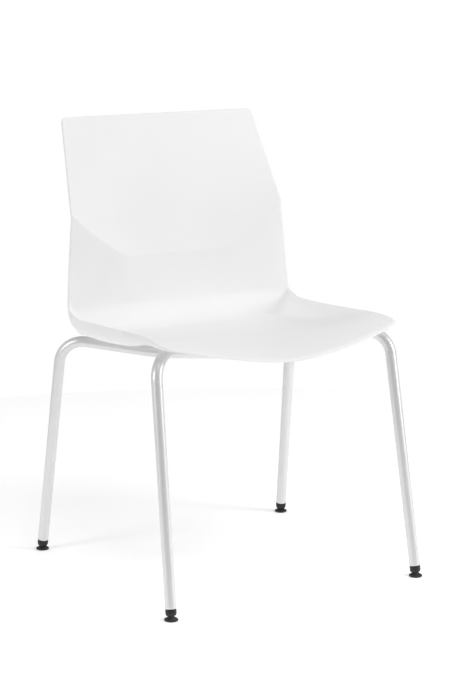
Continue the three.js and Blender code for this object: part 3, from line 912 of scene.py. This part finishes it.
INSERT_PROFILE = [
    (INSERT_BORE, BOSS_FOOT + 0.3),
    (INSERT_BORE + 0.3, BOSS_FOOT),
    (INSERT_FLANGE - 0.2, BOSS_FOOT),
    (INSERT_FLANGE, BOSS_FOOT + 0.2),
    (INSERT_FLANGE, BOSS_FOOT + INSERT_FLANGE_HEIGHT),
    (INSERT_RADIUS - 0.4, BOSS_FOOT + INSERT_FLANGE_HEIGHT),
    (INSERT_RADIUS - 0.4, BOSS_FOOT + 1.6),
    (INSERT_RADIUS, BOSS_FOOT + 1.9),
    (INSERT_RADIUS, BOSS_FOOT + 4.4),
    (INSERT_RADIUS - 0.5, BOSS_FOOT + 4.7),
    (INSERT_RADIUS - 0.5, BOSS_FOOT + 5.3),
    (INSERT_RADIUS, BOSS_FOOT + 5.6),
    (INSERT_RADIUS, BOSS_FOOT + INSERT_LENGTH - 0.5),
    (INSERT_RADIUS - 0.4, BOSS_FOOT + INSERT_LENGTH),
    (INSERT_BORE, BOSS_FOOT + INSERT_LENGTH),
    (INSERT_BORE, BOSS_FOOT + 0.3),
]


def knurl(radius, height, angle):
    ridges = radius >= INSERT_RADIUS - 0.01 and height > BOSS_FOOT + 1.5
    return radius - 0.14 * (1 + math.cos(24 * angle)) if ridges else radius


WASHER_PROFILE = rounded_profile(
    [
        (SCREW_HOLE_RADIUS, washer_foot + 0.6),
        (SCREW_HOLE_RADIUS, washer_foot, 0.15),
        (WASHER_RADIUS, washer_foot, 0.35),
        (WASHER_RADIUS, washer_top, 0.15),
        (SCREW_HOLE_RADIUS, washer_top, 0.15),
        (SCREW_HOLE_RADIUS, washer_foot + 0.6),
    ]
)

for name, x, y in SCREWS:
    place = Matrix.Translation((x, y, 0)) @ Matrix.Rotation(0.37 * x + 0.11 * y, 4, "Z")
    screw = moved(turned(SCREW_PROFILE, 60, screw_shape), place)
    piece(f"hex_screw_{name}", *screw, "zinc_steel", nodes=[f"shell_screw_{name}"])
    washer = moved(turned(WASHER_PROFILE, 56), place)
    piece(f"flat_washer_{name}", *washer, "zinc_steel", nodes=[f"shell_washer_{name}"])
    insert = moved(turned(INSERT_PROFILE, 96, knurl), place)
    piece(f"threaded_insert_{name}", *insert, "insert_brass", nodes=[f"shell_insert_{name}"])

# ---------------------------------------------------------------- glides

collar_top = COLLAR_ABOVE + COLLAR_LENGTH
plug_top = collar_top + PLUG_LENGTH
PLUG_PROFILE = rounded_profile(
    [
        (PLUG_BORE, STUD_TOP + GAP),
        (PLUG_BORE, COLLAR_ABOVE, 0.3),
        (SKIRT_INNER, COLLAR_ABOVE, 0.6),
        (SKIRT_INNER, SKIRT_LOW, 0.25),
        (SKIRT_RADIUS, SKIRT_LOW, 0.3),
        (SKIRT_RADIUS + 0.4, SKIRT_FLARE - 1.2, 0.4),
        (TUBE_RADIUS - 0.1, SKIRT_FLARE, 0.4),
        (TUBE_RADIUS - 0.1, collar_top - 5.3, 0.2),
        (TUBE_RADIUS - 0.9, collar_top - 5.1, 0.2),
        (TUBE_RADIUS - 0.9, collar_top - 4.3, 0.2),
        (TUBE_RADIUS, collar_top - 4.1, 0.2),
        (TUBE_RADIUS, collar_top - 2.5, 0.2),
        (TUBE_RADIUS - 0.9, collar_top - 2.3, 0.2),
        (TUBE_RADIUS - 0.9, collar_top - 1.5, 0.2),
        (TUBE_RADIUS, collar_top - 1.3, 0.2),
        (TUBE_RADIUS, collar_top, 0.35),
        (PLUG_RADIUS - 0.4, collar_top, 0.2),
        (PLUG_RADIUS - 0.4, collar_top + 3, 0.3),
        (PLUG_RADIUS, collar_top + 4, 0.3),
        (PLUG_RADIUS - 0.6, collar_top + 7, 0.3),
        (PLUG_RADIUS - 0.6, collar_top + 10, 0.3),
        (PLUG_RADIUS, collar_top + 11, 0.3),
        (PLUG_RADIUS - 0.6, collar_top + 14, 0.3),
        (PLUG_RADIUS - 0.6, collar_top + 17, 0.3),
        (PLUG_RADIUS, collar_top + 18, 0.3),
        (PLUG_RADIUS - 0.8, plug_top - 3, 0.5),
        (PLUG_RADIUS - 1.8, plug_top, 0.6),
        (0.01, plug_top),
    ]
)
PLUG_PROFILE = [(0.01, STUD_TOP + GAP)] + PLUG_PROFILE

neck = math.asin(STUD_RADIUS / BALL_RADIUS)
ball_turns = [(math.pi - neck) * i / 20 for i in range(21)]
STUD_PROFILE = [(max(0.01, BALL_RADIUS * math.sin(a)), -BALL_RADIUS * math.cos(a)) for a in ball_turns]
STUD_PROFILE += [(STUD_RADIUS, STUD_TOP - 0.5), (STUD_RADIUS - 0.5, STUD_TOP), (0.01, STUD_TOP)]


def base_profile(ball_z):
    radius = BALL_RADIUS + GAP
    mouth = math.asin((BASE_LIP_Z - ball_z) / radius)
    outside = rounded_profile(
        [
            (0.01, SOLE_THICKNESS + GAP),
            (SOLE_RADIUS + GAP, SOLE_THICKNESS + GAP),
            (SOLE_RADIUS + GAP, BASE_FLOOR, 0.2),
            (BASE_RADIUS - 0.3, BASE_FLOOR, 0.25),
            (BASE_RADIUS, BASE_SIDE, 0.8),
            (BASE_SHOULDER, BASE_SHOULDER_Z, 1.0),
            (BASE_LIP + 0.9, BASE_SHOULDER_Z + 1.4, 0.8),
            (BASE_LIP + 0.1, BASE_LIP_Z, 0.3),
            (radius * math.cos(mouth), BASE_LIP_Z),
        ]
    )
    socket = [mouth + (-math.pi / 2 - mouth) * i / 14 for i in range(1, 15)]
    inside = [(max(0.01, radius * math.cos(a)), ball_z + radius * math.sin(a)) for a in socket]
    return outside + inside


GROOVE = 0.35  # depth of the sole's two ring grooves
SOLE_PROFILE = [(0.01, 0.0), (2.4, 0.0), (2.7, GROOVE), (3.3, GROOVE), (3.6, 0.0)]
SOLE_PROFILE += [(6.6, 0.0), (6.9, GROOVE), (7.5, GROOVE), (7.8, 0.0)]
SOLE_PROFILE += [(SOLE_RADIUS - 0.5, 0.0), (SOLE_RADIUS - 0.15, 0.15), (SOLE_RADIUS, 0.5)]
SOLE_PROFILE += [(SOLE_RADIUS, SOLE_THICKNESS), (0.01, SOLE_THICKNESS)]

for end, leg in LEGS.items():
    for side, sign in SIDES:
        name = f"{end}_{side}"
        x, y, z = leg["foot"]
        along = leg_direction(leg)
        along.x *= sign
        tilt = UP.rotation_difference(along).to_matrix().to_4x4()
        leaning = Matrix.Translation((sign * x, y, z)) @ tilt
        level = Matrix.Translation((sign * x, y, 0))
        plug = moved(turned(PLUG_PROFILE, 56), leaning)
        piece(f"leg_plug_{name}", *plug, "glide_plastic", nodes=[f"glide_plug_{name}"])
        stud = moved(turned(STUD_PROFILE, 40), leaning)
        piece(f"ball_stud_{name}", *stud, "zinc_steel", nodes=[f"glide_stud_{name}"])
        base = moved(turned(base_profile(z), 64), level)
        piece(f"tilting_foot_{name}", *base, "glide_plastic", f"glide_{name}", [f"glide_base_{name}"])
        sole = moved(turned(SOLE_PROFILE, 56), level)
        piece(f"foot_sole_{name}", *sole, "glide_sole", f"glide_{name}", [f"glide_sole_{name}"])

# ---------------------------------------------------------------- floor, light and camera


def floor_material():
    m = Nodes("floor", (0.95, 0.95, 0.95), 0.6)
    m.shader.inputs["Emission Color"].default_value = (1, 1, 1, 1)
    m.shader.inputs["Emission Strength"].default_value = 0.28
    m.shader.inputs["Specular IOR Level"].default_value = 0.2
    m.colour(m.tint(m.noise(2.5, 3), (0.945, 0.945, 0.945), (0.955, 0.955, 0.955)))
    return m.material


FLOOR_RADIUS, FLOOR_SIDES = 1.5, 96  # metres
floor_mesh = bpy.data.meshes.new("studio_floor")
rim_angles = [2 * math.pi * i / FLOOR_SIDES for i in range(FLOOR_SIDES)]
floor_rim = [(FLOOR_RADIUS * math.cos(a), FLOOR_RADIUS * math.sin(a), 0) for a in rim_angles]
floor_mesh.from_pydata(floor_rim, [], [tuple(range(FLOOR_SIDES))])
floor_mesh.materials.append(floor_material())
floor = bpy.data.objects.new("studio_floor", floor_mesh)
bpy.context.scene.collection.objects.link(floor)

# the ground is white, and what the chair reflects is dimmer towards the front
FRONT_DIRECTION = (-0.5, -0.86, 0.1)
SIDE_STRENGTH, FRONT_STRENGTH = 0.54, 0.26
world = bpy.data.worlds.new("studio")
world.use_nodes = True
sky = world.node_tree
background = sky.nodes["Background"]
background.inputs["Color"].default_value = (1, 1, 1, 1)
rays = sky.nodes.new("ShaderNodeLightPath")
from_front = sky.nodes.new("ShaderNodeVectorMath")
from_front.operation = "DOT_PRODUCT"
from_front.inputs[1].default_value = FRONT_DIRECTION
sky.links.new(sky.nodes.new("ShaderNodeTexCoord").outputs["Generated"], from_front.inputs[0])
studio_side = sky.nodes.new("ShaderNodeMapRange")
studio_side.interpolation_type = "SMOOTHSTEP"
studio_side.inputs["From Min"].default_value = 0.1
studio_side.inputs["From Max"].default_value = 0.95
studio_side.inputs["To Min"].default_value = SIDE_STRENGTH
studio_side.inputs["To Max"].default_value = FRONT_STRENGTH
sky.links.new(from_front.outputs["Value"], studio_side.inputs["Value"])
strength = sky.nodes.new("ShaderNodeMath")
strength.operation = "MAXIMUM"
sky.links.new(rays.outputs["Is Camera Ray"], strength.inputs[0])
sky.links.new(studio_side.outputs["Result"], strength.inputs[1])
sky.links.new(strength.outputs[0], background.inputs["Strength"])
bpy.context.scene.world = world
bpy.context.scene.view_settings.view_transform = "Standard"


def softbox(name, place, target, width, height, power):
    light = bpy.data.lights.new(name, "AREA")
    light.shape = "RECTANGLE"
    light.size = width
    light.size_y = height
    light.energy = power
    holder = bpy.data.objects.new(name, light)
    holder.location = place
    holder.rotation_mode = "QUATERNION"
    holder.rotation_quaternion = (Vector(target) - Vector(place)).to_track_quat("-Z", "Y")
    bpy.context.scene.collection.objects.link(holder)


softbox("overhead_softbox", (0.3, -1.5, 3.3), (0, 0, 0.45), 2.6, 1.8, 42)
softbox("left_softbox", (-3.2, -0.1, 1.4), (0, 0, 0.4), 1.0, 1.4, 30)
softbox("right_softbox", (2.4, -2.2, 1.3), (0, 0, 0.4), 1.0, 1.4, 40)

CAMERA_TARGET = Vector((0, -0.0277, 0.409))
CAMERA_AZIMUTH = math.radians(-29.87)
CAMERA_ELEVATION = math.radians(11.43)
CAMERA_DISTANCE = 3.938
SENSOR = 36  # millimetres
LONG_SIDE, FOCAL_PIXELS = 700, 2153  # pixels of the 467 by 700 frame

back = Vector(
    (
        math.sin(CAMERA_AZIMUTH) * math.cos(CAMERA_ELEVATION),
        -math.cos(CAMERA_AZIMUTH) * math.cos(CAMERA_ELEVATION),
        math.sin(CAMERA_ELEVATION),
    )
)
lens = bpy.data.cameras.new("camera")
lens.sensor_width = SENSOR
lens.lens = FOCAL_PIXELS * SENSOR / LONG_SIDE
camera = bpy.data.objects.new("camera", lens)
camera.location = CAMERA_TARGET + back * CAMERA_DISTANCE
camera.rotation_mode = "QUATERNION"
camera.rotation_quaternion = (-back).to_track_quat("-Z", "Y")
bpy.context.scene.collection.objects.link(camera)
bpy.context.scene.camera = camera
